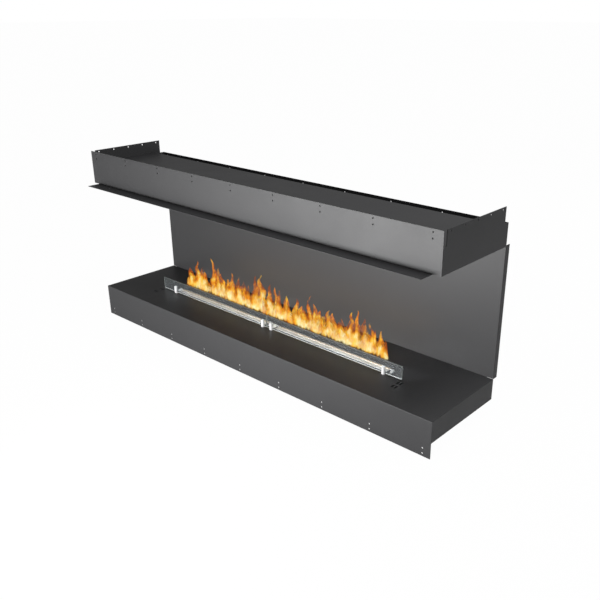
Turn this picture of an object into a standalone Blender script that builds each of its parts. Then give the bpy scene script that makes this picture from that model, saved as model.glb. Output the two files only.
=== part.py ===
"""Three-sided built-in fireplace, open to the front and to both ends.

A low steel casing carries the hearth, a flat back panel rises behind it, and a hood box hangs
from the back panel over the open fire chamber. The hearth holds two slot burners end to end,
each with a hinged snuffer lid, and a low glass guard of two panes in slotted steel holders.
Metres, +Z up, the front faces -Y, and the origin is the middle of the box's floor.
"""
import math

import bmesh
import bpy
from mathutils import Matrix

# Sheet and fits
SHEET = 0.002
FIT_GAP = 0.0003
CUT_OVERRUN = 0.010
ROUND_SIDES = 24
HOLE_SIDES = 10
SMOOTH_ANGLE = math.radians(35)

# Casing outline
CASING_WIDTH = 1.800
BODY_DEPTH = 0.377
BASE_HEIGHT = 0.059
HEARTH_HEIGHT = 0.138
OPENING_HEIGHT = 0.483
HOOD_HEIGHT = 0.087
FLANGE_RISE = 0.051
FLANGE_FLOOR_GAP = 0.001

# Fixing holes in the flanges
FIXING_RADIUS = 0.0025
FIXING_COUNT = 9
FIXING_END = 0.031
HOOD_FIXING_END = 0.0365
FIXING_EDGE = 0.0105
FIXING_PAIR = 0.0195
REAR_FIXING_EDGE = 0.009
SIDE_FIXING_COUNT = 5
SIDE_FIXING_END = 0.019
SIDE_FIXING_EDGE = 0.0075
RIVET_HOLE_RADIUS = 0.0016
RIVET_COUNT = 10
RIVET_END = 0.054
RIVET_EDGE = 0.0155

# Lower casing
RAIL_LEG = 0.020
BEARER_WIDTH = 0.040
BEARER_HEIGHT = 0.0104
BEARER_END = 0.0685

# Levelling feet
FOOT_END = 0.200
FOOT_SIDE = 0.070
FOOT_PAD_RADIUS = 0.020
FOOT_PAD_HEIGHT = 0.008
FOOT_STEM_RADIUS = 0.005
FOOT_COLLAR_RADIUS = 0.010
FOOT_STEM_TOP = 0.016
FOOT_NUT_FLATS = 0.017
FOOT_NUT_HEIGHT = 0.008

# Vent slots near the two ends of the hearth plate
VENT_SLOT_WIDTH = 0.0055
VENT_SLOT_LENGTH = 0.020
VENT_PITCH_X = 0.013
VENT_PITCH_Y = 0.031
VENT_END = 0.2265
VENT_DEPTH = 0.1225
VENT_SHARES = (-0.5, 0.5)

# Back panel
BACK_RETURN = 0.022
BACK_RISE = 0.004
TONGUE_INSET = 0.025
TONGUE_HEIGHT = 0.070
STIFFENER_OFFSET = 0.450
STIFFENER_WIDTH = 0.060
STIFFENER_SIDE = 0.018
STIFFENER_END = 0.012

# Hood
REAR_WALL_DROP = 0.0055
SIDE_FLANGE_FRONT = 0.018
SIDE_FLANGE_REAR = 0.023
VENT_GAP = 0.055
LEDGE_WIDTH = 0.060
LIP_REACH = 0.055
LIP_INSET = 0.034
TOP_RIM = 0.025
ANGLE_WIDTH = 0.025
ANGLE_HEIGHT = 0.030
RIB_OFFSET = 0.300
RIB_WIDTH = 0.030
RIB_END_GAP = 0.002

# Burner modules
MODULE_LENGTH = 0.617
MODULE_GAP = 0.002
HINGE_DEPTH = 0.198
CUTOUT_FRONT = 0.0275
CUTOUT_REAR = 0.034
CUTOUT_END_GAP = 0.002
DECK_FRONT = 0.033
DECK_REAR = 0.049
TANK_WALL = 0.0015
TANK_INSET = 0.001
TANK_END = 0.004
WOOL_GAP = 0.0005
WOOL_DROP = 0.006
SLOT_FRONT = 0.010
SLOT_WIDTH = 0.012
SLOT_END = 0.034
BEAD_WIDTH = 0.004
LID_END = 0.029
LID_REACH = 0.023
REST_INSET = 0.002
LID_SHEET = 0.0012
CURL_SLIT = 0.0006
ROD_RADIUS = 0.002
HINGE_CLEARANCE = 0.001
RAIL_WIDTH = 0.006
BLOCK_OUTER_LENGTH = 0.009
BLOCK_INNER_LENGTH = 0.0185
BLOCK_TOE = 0.017
BLOCK_TOE_HEIGHT = 0.0016
BLOCK_END_GAP = 0.0095
EAR_SIDES = 8

# Glass guard
GLASS_DEPTH = 0.156
GLASS_THICKNESS = 0.006
PANE_OVERHANG = 0.0515
PANE_HEIGHT = 0.0505
PANE_JOINT = 0.003
HOLDER_RADIUS = 0.0075
HOLDER_HEIGHT = 0.030
HOLDER_FLOOR = 0.005
HOLDER_INNER = 0.024
HOLDER_END = 0.029
STUD_RADIUS = 0.003
STUD_LENGTH = 0.010
STUD_NUT_FLATS = 0.010
STUD_NUT_HEIGHT = 0.005

# Heights and depths that follow from the sizes above, from the floor and from the front plane
HALF_WIDTH = CASING_WIDTH / 2
INNER_HALF = HALF_WIDTH - SHEET - FIT_GAP
HEARTH_UNDERSIDE = HEARTH_HEIGHT - SHEET
UNDER_HEARTH = HEARTH_UNDERSIDE - FIT_GAP
FLOOR_TOP = BASE_HEIGHT + SHEET
BEARER_BOTTOM = FLOOR_TOP + FIT_GAP
BEARER_TOP = BEARER_BOTTOM + BEARER_HEIGHT
INNER_FRONT = SHEET + FIT_GAP
INNER_REAR = BODY_DEPTH - SHEET - FIT_GAP
HOOD_BOTTOM = HEARTH_HEIGHT + OPENING_HEIGHT
TOP_PLATE_REAR = BODY_DEPTH - SHEET - VENT_GAP
BACK_FACE = BODY_DEPTH + FIT_GAP
FRONT_PLANE = (LIP_REACH - BACK_FACE - BACK_RETURN) / 2

# Burner sizes that follow, measured from the hinge axis of a module
BARREL_BORE = ROD_RADIUS + FIT_GAP
BARREL_RADIUS = BARREL_BORE + LID_SHEET
HINGE_RISE = BARREL_RADIUS + HINGE_CLEARANCE
RAIL_HEIGHT = HINGE_RISE - LID_SHEET / 2 - FIT_GAP
DECK_TOP = UNDER_HEARTH
DECK_BOTTOM = DECK_TOP - SHEET
TANK_TOP = DECK_BOTTOM - FIT_GAP
TANK_BOTTOM = BEARER_TOP + FIT_GAP
HINGE_HEIGHT = DECK_TOP + HINGE_RISE
MODULE_OFFSET = (MODULE_LENGTH + MODULE_GAP) / 2
BURNER_HALF = MODULE_OFFSET + MODULE_LENGTH / 2

# Guard sizes that follow from the burner's length
PANE_LENGTH = BURNER_HALF + PANE_OVERHANG - PANE_JOINT / 2
HOLDER_OUTER = BURNER_HALF - HOLDER_END

# Colours and surfaces: colour, roughness, metallic
BLACK_COAT = ((0.055, 0.055, 0.057, 1.0), 0.55, 0.0)
DARK_COAT = ((0.03, 0.03, 0.031, 1.0), 0.6, 0.0)
BRIGHT_STEEL = ((0.72, 0.70, 0.68, 1.0), 0.25, 1.0)
PLAIN_STEEL = ((0.45, 0.45, 0.44, 1.0), 0.4, 1.0)
WOOL_WHITE = ((0.82, 0.80, 0.76, 1.0), 0.95, 0.0)
CLEAR_GLASS = ((0.62, 0.66, 0.66, 0.4), 0.05, 0.0)


def clear_scene():
    """Remove every object that the scene starts with."""
    for item in list(bpy.data.objects):
        bpy.data.objects.remove(item, do_unlink=True)


def finish(name, surface):
    """Make a Principled material of a surface's colour, roughness and metallic value."""
    colour, roughness, metallic = surface
    material = bpy.data.materials.new(name)
    material.use_nodes = True
    shader = material.node_tree.nodes["Principled BSDF"]
    shader.inputs["Base Color"].default_value = colour
    shader.inputs["Alpha"].default_value = colour[-1]
    shader.inputs["Roughness"].default_value = roughness
    shader.inputs["Metallic"].default_value = metallic
    return material


def frame(name, location):
    """Place an empty that carries a sub-assembly."""
    holder = bpy.data.objects.new(name, None)
    holder.location = location
    bpy.context.collection.objects.link(holder)
    return holder


def part(name, shape, surface, parent, location=(0, 0, 0), is_round=False):
    """Turn a bmesh into a named object with its own material, under its parent."""
    bmesh.ops.recalc_face_normals(shape, faces=shape.faces)
    mesh = bpy.data.meshes.new(name)
    shape.to_mesh(mesh)
    shape.free()
    if is_round:
        mesh.shade_smooth()
        mesh.set_sharp_from_angle(angle=SMOOTH_ANGLE)
    mesh.materials.append(finish(name, surface))
    item = bpy.data.objects.new(name, mesh)
    item.parent = parent
    item.location = location
    bpy.context.collection.objects.link(item)
    return item


def boolean(item, shape, operation):
    """Cut a bmesh out of an object, or join it on, with a hidden helper object."""
    helper = part(f"{item.name}_{operation.lower()}_{len(item.modifiers)}", shape, DARK_COAT,
                  item.parent, item.location)
    helper.hide_render = True
    helper.display_type = "WIRE"
    modifier = item.modifiers.new(operation.title(), "BOOLEAN")
    modifier.operation = operation
    modifier.solver = "EXACT"
    modifier.object = helper


def add_box(shape, x, y, z):
    """Add a box to a bmesh, given its low and high ends along each axis."""
    middle = [(low + high) / 2 for low, high in (x, y, z)]
    size = [high - low for low, high in (x, y, z)]
    matrix = Matrix.Translation(middle) @ Matrix.Diagonal((*size, 1))
    bmesh.ops.create_cube(shape, size=1, matrix=matrix)


def box(x, y, z):
    """Make a bmesh that holds one box."""
    shape = bmesh.new()
    add_box(shape, x, y, z)
    return shape


def spread(axis, across, along):
    """Put two cross coordinates and one along an axis into x, y, z order."""
    u, v = across
    return {"X": (along, u, v), "Y": (u, along, v), "Z": (u, v, along)}[axis]


def add_prism(shape, axis, outline, ends):
    """Extrude an outline, given in the two other axes, between two ends along an axis."""
    low, high = ends
    corners = [shape.verts.new(spread(axis, point, low)) for point in outline]
    face = shape.faces.new(corners)
    grown = bmesh.ops.extrude_face_region(shape, geom=[face])
    moved = [v for v in grown["geom"] if isinstance(v, bmesh.types.BMVert)]
    bmesh.ops.translate(shape, verts=moved, vec=spread(axis, (0, 0), high - low))


def prism(axis, outline, ends):
    """Make a bmesh that holds one extruded outline."""
    shape = bmesh.new()
    add_prism(shape, axis, outline, ends)
    return shape


def ring(radius, sides, centre=(0, 0)):
    """List the corners of a regular polygon inside a circle."""
    cu, cv = centre
    turns = [math.tau * (i + 1 / 2) / sides for i in range(sides)]
    return [(cu + radius * math.cos(turn), cv + radius * math.sin(turn)) for turn in turns]


def hexagon(flats):
    """List the corners of a hexagon from its width across the flats."""
    return ring(flats / 2 / math.cos(math.pi / 6), 6)


def drill(item, axis, centres, radius, ends):
    """Cut round holes of one radius through an object along an axis."""
    low, high = ends
    shape = bmesh.new()
    reach = (low - CUT_OVERRUN, high + CUT_OVERRUN)
    for centre in centres:
        add_prism(shape, axis, ring(radius, HOLE_SIDES, centre), reach)
    boolean(item, shape, "DIFFERENCE")


def angle_outline(corner, width, height, thickness):
    """Outline an angle profile from its corner. A negative width or height turns that leg round."""
    u, v = corner
    tu = math.copysign(thickness, width)
    tv = math.copysign(thickness, height)
    return [(u, v), (u + width, v), (u + width, v + tv), (u + tu, v + tv), (u + tu, v + height),
            (u, v + height)]


def channel_outline(middle, width, web, edge):
    """Outline a channel profile, from its web to the edge of its two legs."""
    half = width / 2
    inner = half - SHEET
    wall = web + math.copysign(SHEET, edge - web)
    return [(middle - half, edge), (middle - half, web), (middle + half, web), (middle + half, edge),
            (middle + inner, edge), (middle + inner, wall), (middle - inner, wall), (middle - inner, edge)]


def even_places(count, end):
    """Evenly spaced places along X, the outer ones set in from the casing's ends."""
    half = HALF_WIDTH - end
    return [half * (2 * i / (count - 1) - 1) for i in range(count)]


def fixing_pairs(end, edge, inwards):
    """Centres of the hole pairs along a flange whose free edge lies at the given height."""
    rows = (edge + inwards * FIXING_EDGE, edge + inwards * (FIXING_EDGE + FIXING_PAIR))
    return [(x, z) for x in even_places(FIXING_COUNT, end) for z in rows]


def lower_panels(casing):
    """Front panel with its fixing flange, the two end panels and the rear panel."""
    bottom = FLANGE_FLOOR_GAP
    front = part("lower_front_panel", box((-HALF_WIDTH, HALF_WIDTH), (0, SHEET), (bottom, HEARTH_HEIGHT)),
                 BLACK_COAT, casing)
    drill(front, "Y", fixing_pairs(FIXING_END, bottom, 1), FIXING_RADIUS, (0, SHEET))
    for name, side in (("lower_left_panel", -1), ("lower_right_panel", 1)):
        across = sorted((side * (HALF_WIDTH - SHEET), side * HALF_WIDTH))
        part(name, box(across, (INNER_FRONT, BODY_DEPTH), (BASE_HEIGHT, HEARTH_HEIGHT)), BLACK_COAT, casing)
    part("lower_rear_panel", box((-INNER_HALF, INNER_HALF), (BODY_DEPTH - SHEET, BODY_DEPTH),
                                 (BASE_HEIGHT, UNDER_HEARTH)), DARK_COAT, casing)


def foot_places():
    """Plan places of the four levelling feet, as depth from the front plane."""
    return [(x * (HALF_WIDTH - FOOT_END), y) for x in (-1, 1) for y in (FOOT_SIDE, BODY_DEPTH - FOOT_SIDE)]


def base_plate(casing):
    """Floor of the lower casing, drilled for the feet."""
    plate = part("base_plate", box((-INNER_HALF, INNER_HALF), (INNER_FRONT, INNER_REAR),
                                   (BASE_HEIGHT, FLOOR_TOP)), DARK_COAT, casing)
    drill(plate, "Z", foot_places(), FOOT_STEM_RADIUS + FIT_GAP, (BASE_HEIGHT, FLOOR_TOP))


def bearers(casing):
    """Four cross channels on the base plate that carry the burner tanks, two under each."""
    reach = MODULE_LENGTH / 2 - BEARER_END
    for module, side in (("left", -1), ("right", 1)):
        for place, end in (("outer", side), ("inner", -side)):
            x = side * MODULE_OFFSET + end * reach
            outline = channel_outline(x, BEARER_WIDTH, BEARER_TOP, BEARER_BOTTOM)
            channel = prism("Y", outline, (INNER_FRONT, INNER_REAR))
            part(f"tank_bearer_{module}_{place}", channel, DARK_COAT, casing)


def hearth_rails(casing):
    """Angles behind the front and rear panels on which the hearth plate rests."""
    x = (-INNER_HALF, INNER_HALF)
    front = angle_outline((INNER_FRONT, UNDER_HEARTH), RAIL_LEG, -RAIL_LEG, SHEET)
    rear = angle_outline((INNER_REAR, UNDER_HEARTH), -RAIL_LEG, -RAIL_LEG, SHEET)
    part("hearth_rail_front", prism("X", front, x), DARK_COAT, casing)
    part("hearth_rail_rear", prism("X", rear, x), DARK_COAT, casing)


def hearth_plate(casing):
    """Lift-out hearth plate with the burner cut-out, the vent slots and the holder holes."""
    plate = part("hearth_plate", box((-INNER_HALF, INNER_HALF), (INNER_FRONT, BODY_DEPTH),
                                     (HEARTH_UNDERSIDE, HEARTH_HEIGHT)), BLACK_COAT, casing)
    half = BURNER_HALF + CUTOUT_END_GAP
    z = (HEARTH_UNDERSIDE - CUT_OVERRUN, HEARTH_HEIGHT + CUT_OVERRUN)
    cuts = box((-half, half), (HINGE_DEPTH - CUTOUT_FRONT, HINGE_DEPTH + CUTOUT_REAR), z)
    for side in (-1, 1):
        for share_x in VENT_SHARES:
            for share_y in VENT_SHARES:
                x = side * (HALF_WIDTH - VENT_END) + share_x * VENT_PITCH_X
                y = VENT_DEPTH + share_y * VENT_PITCH_Y
                add_box(cuts, (x - VENT_SLOT_WIDTH / 2, x + VENT_SLOT_WIDTH / 2),
                        (y - VENT_SLOT_LENGTH / 2, y + VENT_SLOT_LENGTH / 2), z)
    boolean(plate, cuts, "DIFFERENCE")
    drill(plate, "Z", [(x, GLASS_DEPTH) for x in holder_places()], STUD_RADIUS + FIT_GAP,
          (HEARTH_UNDERSIDE, HEARTH_HEIGHT))


def levelling_feet(casing):
    """Four screw feet, each with the nut that carries the base plate."""
    seat = BASE_HEIGHT - FIT_GAP
    for number, (x, y) in enumerate(foot_places(), 1):
        foot = bmesh.new()
        profile = [(0, 0), (FOOT_PAD_RADIUS, 0), (FOOT_PAD_RADIUS, FOOT_PAD_HEIGHT / 2),
                   (FOOT_COLLAR_RADIUS, FOOT_PAD_HEIGHT), (FOOT_COLLAR_RADIUS, seat),
                   (FOOT_STEM_RADIUS, seat), (FOOT_STEM_RADIUS, FLOOR_TOP + FOOT_STEM_TOP),
                   (0, FLOOR_TOP + FOOT_STEM_TOP)]
        points = [foot.verts.new((r, 0, z)) for r, z in profile]
        edges = [foot.edges.new(pair) for pair in zip(points, points[1:])]
        bmesh.ops.spin(foot, geom=points + edges, cent=(0, 0, 0), axis=(0, 0, 1), angle=math.tau,
                       steps=ROUND_SIDES, use_merge=True)
        bmesh.ops.remove_doubles(foot, verts=foot.verts, dist=FIT_GAP / 3)
        part(f"levelling_foot_{number}", foot, PLAIN_STEEL, casing, (x, y, 0), True)
        low = FLOOR_TOP + FIT_GAP
        z = (low, low + FOOT_NUT_HEIGHT)
        hex_nut = prism("Z", hexagon(FOOT_NUT_FLATS), z)
        nut = part(f"foot_nut_{number}", hex_nut, PLAIN_STEEL, casing, (x, y, 0))
        drill(nut, "Z", [(0, 0)], FOOT_STEM_RADIUS + FIT_GAP, z)


def back_panel(casing):
    """Back sheet with side returns, and a narrower tongue behind each rear wall."""
    low = HEARTH_HEIGHT + FIT_GAP
    high = HOOD_BOTTOM + BACK_RISE
    wide = HALF_WIDTH
    narrow = HALF_WIDTH - TONGUE_INSET
    outline = [(-wide, low), (-narrow, low), (-narrow, low - TONGUE_HEIGHT), (narrow, low - TONGUE_HEIGHT),
               (narrow, low), (wide, low), (wide, high), (narrow, high), (narrow, high + TONGUE_HEIGHT),
               (-narrow, high + TONGUE_HEIGHT), (-narrow, high), (-wide, high)]
    panel = part("back_panel", prism("Y", outline, (BACK_FACE, BACK_FACE + SHEET)), BLACK_COAT, casing)
    returns = bmesh.new()
    for side in (-1, 1):
        across = sorted((side * (wide - SHEET), side * wide))
        add_box(returns, across, (BACK_FACE, BACK_FACE + BACK_RETURN), (low, high))
    boolean(panel, returns, "UNION")


def back_stiffeners(casing):
    """Two upright channels behind the back panel."""
    near = BACK_FACE + SHEET + FIT_GAP
    z = (HEARTH_HEIGHT + STIFFENER_END, HOOD_BOTTOM - STIFFENER_END)
    for name, side in (("back_stiffener_left", -1), ("back_stiffener_right", 1)):
        outline = channel_outline(side * STIFFENER_OFFSET, STIFFENER_WIDTH, near, near + STIFFENER_SIDE)
        part(name, prism("Z", outline, z), DARK_COAT, casing)


def hood_front(hood):
    """Hood front with its upstanding fixing flange and the row of rivet holes."""
    height = HOOD_HEIGHT + FLANGE_RISE
    sheet = box((-HALF_WIDTH, HALF_WIDTH), (0, SHEET), (0, height))
    panel = part("hood_front_panel", sheet, BLACK_COAT, hood)
    drill(panel, "Y", fixing_pairs(HOOD_FIXING_END, height, -1), FIXING_RADIUS, (0, SHEET))
    rivets = [(x, RIVET_EDGE) for x in even_places(RIVET_COUNT, RIVET_END)]
    drill(panel, "Y", rivets, RIVET_HOLE_RADIUS, (0, SHEET))


def hood_sides(hood):
    """Hood end panels, each with an upstanding flange above and an inward ledge below."""
    top = HOOD_HEIGHT + FLANGE_RISE
    rear_top = HOOD_HEIGHT - REAR_WALL_DROP
    flange_rear = BODY_DEPTH - SIDE_FLANGE_REAR
    outline = [(INNER_FRONT, 0), (BODY_DEPTH, 0), (BODY_DEPTH, rear_top), (flange_rear, rear_top),
               (flange_rear, top), (SIDE_FLANGE_FRONT, top), (SIDE_FLANGE_FRONT, HOOD_HEIGHT),
               (INNER_FRONT, HOOD_HEIGHT)]
    first = SIDE_FLANGE_FRONT + SIDE_FIXING_END
    pitch = (flange_rear - SIDE_FIXING_END - first) / (SIDE_FIXING_COUNT - 1)
    holes = [(first + i * pitch, top - SIDE_FIXING_EDGE) for i in range(SIDE_FIXING_COUNT)]
    for name, side in (("hood_left_panel", -1), ("hood_right_panel", 1)):
        across = sorted((side * (HALF_WIDTH - SHEET), side * HALF_WIDTH))
        panel = part(name, prism("X", outline, across), BLACK_COAT, hood)
        inwards = sorted((side * (HALF_WIDTH - LEDGE_WIDTH), side * HALF_WIDTH))
        boolean(panel, box(inwards, (INNER_FRONT, INNER_REAR), (0, SHEET)), "UNION")
        drill(panel, "X", holes, FIXING_RADIUS, across)


def hood_rear(hood):
    """Hood rear wall with one row of fixing holes."""
    top = HOOD_HEIGHT - REAR_WALL_DROP
    y = (BODY_DEPTH - SHEET, BODY_DEPTH)
    wall = part("hood_rear_panel", box((-INNER_HALF, INNER_HALF), y, (0, top)), DARK_COAT, hood)
    holes = [(x, top - REAR_FIXING_EDGE) for x in even_places(FIXING_COUNT, FIXING_END)]
    drill(wall, "Y", holes, FIXING_RADIUS, y)


def hood_ceiling(hood):
    """Plate under the hood, whose front edge stands out as a lip."""
    half = HALF_WIDTH - LIP_INSET
    part("hood_ceiling_plate", box((-half, half), (-LIP_REACH, BODY_DEPTH), (-FIT_GAP - SHEET, -FIT_GAP)),
         BLACK_COAT, hood)


def hood_top(hood):
    """Recessed top plate with a downturned rim, which stops short of the rear wall."""
    x = (-INNER_HALF, INNER_HALF)
    y = (INNER_FRONT, TOP_PLATE_REAR)
    low = HOOD_HEIGHT - TOP_RIM
    plate = part("hood_top_plate", box(x, y, (low, HOOD_HEIGHT)), BLACK_COAT, hood)
    hollow = box((x[0] + SHEET, x[1] - SHEET), (y[0] + SHEET, y[1] - SHEET),
                 (low - CUT_OVERRUN, HOOD_HEIGHT - SHEET))
    boolean(plate, hollow, "DIFFERENCE")


def hood_frame(hood):
    """Angles along the front and rear of the hood's floor, and two cross ribs under the top plate."""
    half = HALF_WIDTH - LEDGE_WIDTH - FIT_GAP
    front = angle_outline((INNER_FRONT, 0), ANGLE_WIDTH, ANGLE_HEIGHT, SHEET)
    rear = angle_outline((INNER_REAR, 0), -ANGLE_WIDTH, ANGLE_HEIGHT, SHEET)
    part("hood_angle_front", prism("X", front, (-half, half)), DARK_COAT, hood)
    part("hood_angle_rear", prism("X", rear, (-half, half)), DARK_COAT, hood)
    top = HOOD_HEIGHT - SHEET - FIT_GAP
    y = (INNER_FRONT + ANGLE_WIDTH + FIT_GAP, TOP_PLATE_REAR - SHEET - RIB_END_GAP)
    for name, side in (("hood_rib_left", -1), ("hood_rib_right", 1)):
        upright = channel_outline(top / 2, top, side * RIB_OFFSET, side * (RIB_OFFSET + RIB_WIDTH))
        part(name, prism("Y", [(x, z) for z, x in upright], y), DARK_COAT, hood)


def burner_tank(name, module):
    """Open stainless tank that hangs under the deck and stands on its bearers."""
    half = MODULE_LENGTH / 2 - TANK_END
    y = (-DECK_FRONT + TANK_INSET, DECK_REAR - TANK_INSET)
    z = (TANK_BOTTOM - HINGE_HEIGHT, TANK_TOP - HINGE_HEIGHT)
    tank = part(f"burner_tank_{name}", box((-half, half), y, z), PLAIN_STEEL, module)
    inner = half - TANK_WALL
    low = z[0] + TANK_WALL
    hollow = box((-inner, inner), (y[0] + TANK_WALL, y[1] - TANK_WALL), (low, z[1] + CUT_OVERRUN))
    boolean(tank, hollow, "DIFFERENCE")
    room = inner - WOOL_GAP
    margin = TANK_WALL + WOOL_GAP
    wool = box((-room, room), (y[0] + margin, y[1] - margin), (low + FIT_GAP, z[1] - WOOL_DROP))
    part(f"ceramic_wool_{name}", wool, WOOL_WHITE, module)


def burner_deck(name, module):
    """Black cover plate of the tank, with the flame slot and a bead under the lid, open and closed."""
    half = MODULE_LENGTH / 2
    top = -HINGE_RISE
    low = top - SHEET
    deck = part(f"burner_deck_{name}", box((-half, half), (-DECK_FRONT, DECK_REAR), (low, top)),
                DARK_COAT, module)
    slot = half - SLOT_END
    bead = SLOT_FRONT + SLOT_WIDTH
    rest = REST_INSET - LID_REACH
    beads = box((-slot, slot), (bead, bead + BEAD_WIDTH), (low, top + RAIL_HEIGHT))
    add_box(beads, (-slot, slot), (rest, rest + BEAD_WIDTH), (low, top + RAIL_HEIGHT))
    boolean(deck, beads, "UNION")
    opening = box((-slot, slot), (SLOT_FRONT, bead), (low - CUT_OVERRUN, top + CUT_OVERRUN))
    boolean(deck, opening, "DIFFERENCE")
    edge = SLOT_FRONT - FIT_GAP
    rail = box((-slot, slot), (edge - RAIL_WIDTH, edge), (top + FIT_GAP, top + RAIL_HEIGHT))
    part(f"slot_rail_{name}", rail, BRIGHT_STEEL, module)


def lid_outline():
    """Cross-section of a lid: a flat blade towards the front that ends in a rolled hinge barrel."""
    edge = LID_SHEET / 2
    start = math.pi - math.asin(edge / BARREL_RADIUS)
    stop = -math.pi + math.asin((edge + CURL_SLIT) / BARREL_RADIUS)
    mouth = math.pi + math.asin(edge / BARREL_BORE)
    steps = ROUND_SIDES
    outer = [start + (stop - start) * i / steps for i in range(steps + 1)]
    inner = [stop + (mouth - stop) * i / steps for i in range(steps + 1)]
    points = [(-LID_REACH, edge)]
    points += [(BARREL_RADIUS * math.cos(a), BARREL_RADIUS * math.sin(a)) for a in outer]
    points += [(BARREL_BORE * math.cos(a), BARREL_BORE * math.sin(a)) for a in inner]
    points.append((-LID_REACH, -edge))
    return points


def block_outline():
    """Side view of a hinge block: a round ear about the rod, and a toe that slopes down to the front."""
    low = FIT_GAP - HINGE_RISE
    turns = [math.pi / 2 * (1 - i / EAR_SIDES) for i in range(EAR_SIDES + 1)]
    ear = [(BARREL_RADIUS * math.cos(turn), BARREL_RADIUS * math.sin(turn)) for turn in turns]
    return [(-BLOCK_TOE, low), (-BLOCK_TOE, low + BLOCK_TOE_HEIGHT)] + ear + [(BARREL_RADIUS, low)]


def lid_hinge(name, side, module):
    """Snuffer lid, lying open towards the front, its hinge rod and the rod's two end blocks."""
    reach = MODULE_LENGTH / 2 - LID_END
    lid = prism("X", lid_outline(), (-reach, reach))
    part(f"snuffer_lid_{name}", lid, BRIGHT_STEEL, module, is_round=True)
    near = reach + BLOCK_END_GAP
    ends = {side: near + BLOCK_OUTER_LENGTH, -side: near + BLOCK_INNER_LENGTH}
    rod = prism("X", ring(ROD_RADIUS, ROUND_SIDES), (-ends[-1], ends[1]))
    part(f"hinge_rod_{name}", rod, PLAIN_STEEL, module, is_round=True)
    for place, end in (("outer", side), ("inner", -side)):
        x = sorted((end * near, end * ends[end]))
        block = part(f"hinge_block_{name}_{place}", prism("X", block_outline(), x), BRIGHT_STEEL, module)
        drill(block, "X", [(0, 0)], ROD_RADIUS + FIT_GAP, x)


def holder_places():
    """Places along X of the four glass holders."""
    return [-HOLDER_OUTER, -HOLDER_INNER, HOLDER_INNER, HOLDER_OUTER]


def glass_holders(casing):
    """Slotted steel posts that hold the panes, each with a stud and its nut under the hearth plate."""
    foot = HEARTH_HEIGHT + FIT_GAP
    slot = GLASS_THICKNESS / 2 + FIT_GAP
    for number, x in enumerate(holder_places(), 1):
        pillar = prism("Z", ring(HOLDER_RADIUS, ROUND_SIDES), (0, HOLDER_HEIGHT))
        post = part(f"glass_holder_{number}", pillar, BRIGHT_STEEL, casing, (x, GLASS_DEPTH, foot), True)
        half = HOLDER_RADIUS + CUT_OVERRUN
        boolean(post, box((-half, half), (-slot, slot), (HOLDER_FLOOR, HOLDER_HEIGHT + CUT_OVERRUN)),
                "DIFFERENCE")
        boolean(post, prism("Z", ring(STUD_RADIUS, ROUND_SIDES), (-STUD_LENGTH, HOLDER_FLOOR / 2)), "UNION")
        nut = part(f"holder_nut_{number}", prism("Z", hexagon(STUD_NUT_FLATS), (-STUD_NUT_HEIGHT, 0)),
                   PLAIN_STEEL, casing, (x, GLASS_DEPTH, UNDER_HEARTH))
        drill(nut, "Z", [(0, 0)], STUD_RADIUS + FIT_GAP, (-STUD_NUT_HEIGHT, 0))


def glass_panes(casing):
    """Two toughened panes in one line, standing on the slot floors of their holders."""
    low = HEARTH_HEIGHT + FIT_GAP + HOLDER_FLOOR + FIT_GAP
    for name, side in (("glass_pane_left", -1), ("glass_pane_right", 1)):
        x = side * (PANE_JOINT + PANE_LENGTH) / 2
        half = PANE_LENGTH / 2
        part(name, box((-half, half), (-GLASS_THICKNESS / 2, GLASS_THICKNESS / 2), (0, PANE_HEIGHT)),
             CLEAR_GLASS, casing, (x, GLASS_DEPTH, low))


def main():
    """Build the fireplace from its sub-assemblies."""
    clear_scene()
    casing = frame("casing_frame", (0, FRONT_PLANE, 0))
    lower_panels(casing)
    base_plate(casing)
    bearers(casing)
    hearth_rails(casing)
    hearth_plate(casing)
    levelling_feet(casing)
    back_panel(casing)
    back_stiffeners(casing)
    hood = frame("hood_frame", (0, FRONT_PLANE, HOOD_BOTTOM))
    hood_front(hood)
    hood_sides(hood)
    hood_rear(hood)
    hood_ceiling(hood)
    hood_top(hood)
    hood_frame(hood)
    for name, side in (("left", -1), ("right", 1)):
        place = (side * MODULE_OFFSET, FRONT_PLANE + HINGE_DEPTH, HINGE_HEIGHT)
        module = frame(f"burner_frame_{name}", place)
        burner_tank(name, module)
        burner_deck(name, module)
        lid_hinge(name, side, module)
    glass_holders(casing)
    glass_panes(casing)


main()
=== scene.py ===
"""Looks of the three-sided built-in fireplace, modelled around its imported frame.

Sheet-steel casing, hearth, back panel and hood in satin black powder coat, two slot burners with
snuffer lids in stainless steel, a low glass guard in slotted posts, and the burning fuel's flames.
"""

import logging
import math
import random
from dataclasses import dataclass, field
from enum import Enum
from itertools import product
from typing import Callable, Iterable, Optional, Sequence

import bmesh
import bpy
from bmesh.types import BMEdge, BMesh, BMVert
from mathutils import Matrix, Vector, noise


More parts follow.
